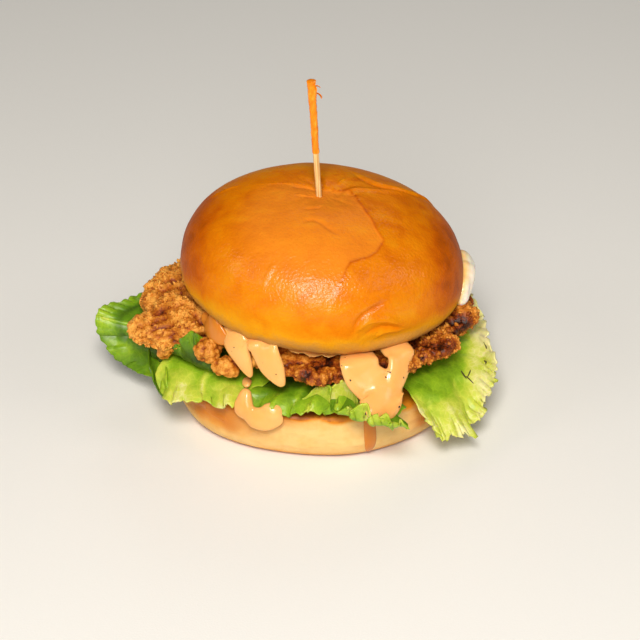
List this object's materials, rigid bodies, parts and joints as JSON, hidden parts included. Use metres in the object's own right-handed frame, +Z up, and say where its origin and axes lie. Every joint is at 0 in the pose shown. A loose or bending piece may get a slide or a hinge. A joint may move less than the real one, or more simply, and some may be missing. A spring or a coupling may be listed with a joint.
{
  "type": "chicken burger",
  "caption": "Fried chicken burger: glossy bun crown and heel, breaded fillet, lettuce leaves, dripping sauce and a cocktail stick; stands on its flat heel.",
  "frame": {"origin": "middle of the heel's flat underside", "axes": "+Z up; -Y is the front, where the sauce drips; +X along the burger's length, towards the large pale lettuce leaf"},
  "size_m": [0.1576, 0.113, 0.1379],
  "materials": {
    "bun_crust": "egg-washed, glossy baked crust, golden orange-brown",
    "bun_crumb": "soft pale bread side with a toasted cut edge",
    "breading": "craggy deep-fried breading, golden to dark brown, slightly oily",
    "lettuce": "fresh green leaf, satin, pale veins",
    "sauce": "thick creamy peach-coloured sauce with pepper specks, glossy",
    "cream": "thick white dressing, glossy",
    "stick_wood": "plain pale bamboo, fine grain",
    "film": "orange see-through film, crinkled"
  },
  "bodies": {
    "root": {"heel_bun": "bun_crumb", "lettuce_left": "lettuce", "lettuce_front_left": "lettuce", "lettuce_front": "lettuce", "lettuce_right": "lettuce", "chicken_fillet": "breading", "sauce": "sauce", "sauce_on_heel": "sauce", "cream_dressing": "cream", "crown_bun": "bun_crust", "cocktail_stick": "stick_wood", "frill_wrap": "film"}
  },
  "joints": []
}
